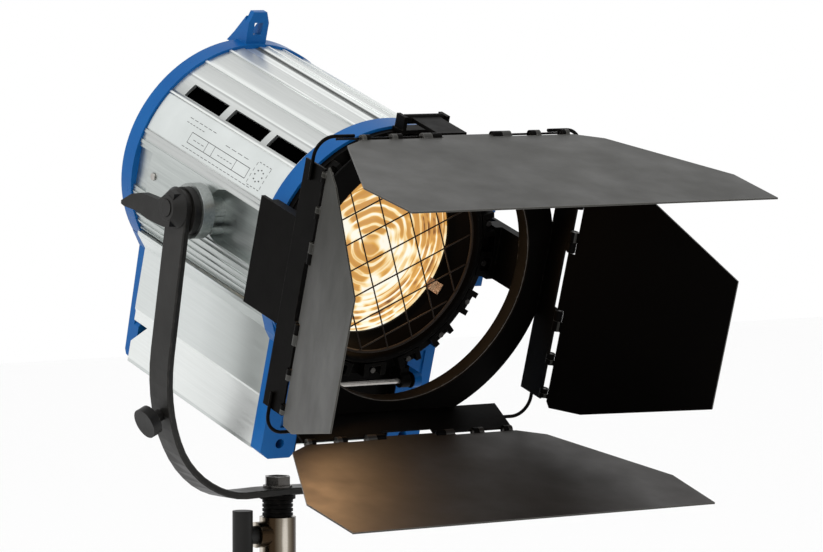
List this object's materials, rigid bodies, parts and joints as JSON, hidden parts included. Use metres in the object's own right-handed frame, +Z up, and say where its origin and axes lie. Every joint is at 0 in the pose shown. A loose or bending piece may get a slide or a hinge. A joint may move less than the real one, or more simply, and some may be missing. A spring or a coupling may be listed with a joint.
{
  "type": "fresnel spotlight",
  "caption": "Tungsten fresnel spotlight with ribbed housing, flat-bar yoke, 16 mm stand socket, opening lens door, focusing lamp carriage and rotating leaf barndoor.",
  "frame": {"origin": "centre of the mouth of the stand socket's stud hole, which opens downwards", "axes": "+Z up along the stand socket, -Y the way the beam leaves, X along the tilt axis with the tilt lever at -X"},
  "size_m": [0.3147, 0.4945, 0.4124],
  "materials": {
    "yoke_paint": "satin black paint, worn at the edges",
    "casting_blue": "die cast, semi-gloss blue paint",
    "profile_silver": "brushed and clear anodised extrusion",
    "black_alu": "matt heat-resistant black paint",
    "leaf_paint": "matt black anodised sheet",
    "plain_steel": "brushed",
    "socket_steel": "turned",
    "black_plastic": "moulded",
    "plate_print": "printed",
    "lens_glass": "pressed stepped lens",
    "quartz": "clear",
    "tungsten": "glowing coil",
    "ceramic_white": "unglazed",
    "mirror_alu": "polished and anodised",
    "copper_clip": "spring sheet",
    "boot_rubber": "moulded"
  },
  "bodies": {
    "yoke": {"yoke_bar": "yoke_paint", "foot_bolt": "plain_steel", "socket_neck": "black_alu", "stand_socket": "socket_steel"},
    "clamp_handle": {"clamp_handle": "black_plastic", "clamp_screw": "plain_steel"},
    "arm_knob": {"arm_knob": "black_plastic"},
    "head": {"pivot_studs": "plain_steel", "pivot_bosses": "profile_silver", "friction_washers": "black_plastic", "front_frame": "casting_blue", "rear_frame": "casting_blue", "upper_housing": "profile_silver", "side_rail_near": "profile_silver", "side_rail_far": "profile_silver", "lower_housing": "profile_silver", "bottom_cover": "profile_silver", "rear_cover": "black_alu", "rating_plate": "plate_print", "vent_baffle": "black_alu", "housing_screws": "plain_steel", "guide_rods": "plain_steel", "cable_gland": "black_plastic", "cable_boot": "boot_rubber", "door_hinge_rod": "plain_steel"},
    "tilt_lever": {"tilt_lever": "black_plastic", "lever_cap": "black_plastic"},
    "far_pivot_knob": {"far_pivot_knob": "black_plastic"},
    "focus_drive": {"focus_spindle": "plain_steel", "focus_knob": "black_plastic"},
    "lamp_carriage": {"carriage": "profile_silver", "lamp_holder": "ceramic_white", "lamp": "quartz", "lamp_filament": "tungsten", "reflector": "mirror_alu"},
    "lens_door": {"lens_door": "black_alu", "lens": "lens_glass", "lens_clips": "copper_clip", "guard_ring": "plain_steel", "wire_guard": "plain_steel", "door_screws": "plain_steel", "claws": "black_alu", "clip_bracket": "black_alu"},
    "top_clip": {"top_clip": "black_alu"},
    "barndoor": {"barndoor_drum": "black_alu", "barndoor_frame": "black_alu", "corner_wires": "plain_steel", "hinge_pins": "plain_steel"},
    "leaf_top": {"leaf_top": "leaf_paint"},
    "leaf_bottom": {"leaf_bottom": "leaf_paint"},
    "leaf_near": {"leaf_near": "leaf_paint"},
    "leaf_far": {"leaf_far": "leaf_paint"}
  },
  "joints": [
    {"name": "clamp_turn", "type": "hinge", "parent": "yoke", "child": "clamp_handle", "pos_m": [-0.03, 0, 0.04], "axis": [-1, 0, 0], "continuous": true},
    {"name": "arm_knob_turn", "type": "hinge", "parent": "yoke", "child": "arm_knob", "pos_m": [-0.10211, -0.009, 0.1327], "axis": [-0.9109, 0, -0.4126], "continuous": true},
    {"name": "tilt", "type": "hinge", "parent": "yoke", "child": "head", "pos_m": [0, -0.04, 0.278], "axis": [-1, 0, 0], "range_deg": [-25, 60]},
    {"name": "tilt_lock", "type": "hinge", "parent": "head", "child": "tilt_lever", "pos_m": [0, -0.04, 0.278], "axis": [-1, 0, 0], "range_deg": [-180, 60]},
    {"name": "far_knob_turn", "type": "hinge", "parent": "head", "child": "far_pivot_knob", "pos_m": [0, -0.04, 0.278], "axis": [1, 0, 0], "continuous": true},
    {"name": "focus_turn", "type": "hinge", "parent": "head", "child": "focus_drive", "pos_m": [0, 0.10209, 0.20181], "axis": [0, -0.9548, -0.2974], "range_deg": [-720, 720]},
    {"name": "focus_slide", "type": "slide", "parent": "head", "child": "lamp_carriage", "axis": [0, -0.9548, -0.2974], "range_m": [-0.0319, 0.0319]},
    {"name": "door_hinge", "type": "hinge", "parent": "head", "child": "lens_door", "pos_m": [0, -0.10869, 0.15553], "axis": [1, 0, 0], "range_deg": [0, 75]},
    {"name": "clip_turn", "type": "hinge", "parent": "lens_door", "child": "top_clip", "pos_m": [0, -0.16101, 0.34033], "axis": [-1, 0, 0], "range_deg": [0, 40], "stiffness_Nm_per_rad": 0.06, "springref_deg": -34.38},
    {"name": "barndoor_turn", "type": "hinge", "parent": "lens_door", "child": "barndoor", "pos_m": [0, -0.16514, 0.23588], "axis": [0, -0.9548, -0.2974], "continuous": true},
    {"name": "leaf_top_hinge", "type": "hinge", "parent": "barndoor", "child": "leaf_top", "pos_m": [0, -0.22715, 0.33073], "axis": [-1, 0, 0], "range_deg": [-22, 60]},
    {"name": "leaf_bottom_hinge", "type": "hinge", "parent": "barndoor", "child": "leaf_bottom", "pos_m": [0, -0.16232, 0.12259], "axis": [1, 0, 0], "range_deg": [-22, 60]},
    {"name": "leaf_near_hinge", "type": "hinge", "parent": "barndoor", "child": "leaf_near", "pos_m": [-0.109, -0.19473, 0.22666], "axis": [0, 0.2974, -0.9548], "range_deg": [-108, 60]},
    {"name": "leaf_far_hinge", "type": "hinge", "parent": "barndoor", "child": "leaf_far", "pos_m": [0.109, -0.19473, 0.22666], "axis": [0, -0.2974, 0.9548], "range_deg": [-97, 60]}
  ],
  "couplings": [
    {"joint": "focus_turn", "follows": "focus_slide", "rad_per_m": 392.7}
  ]
}
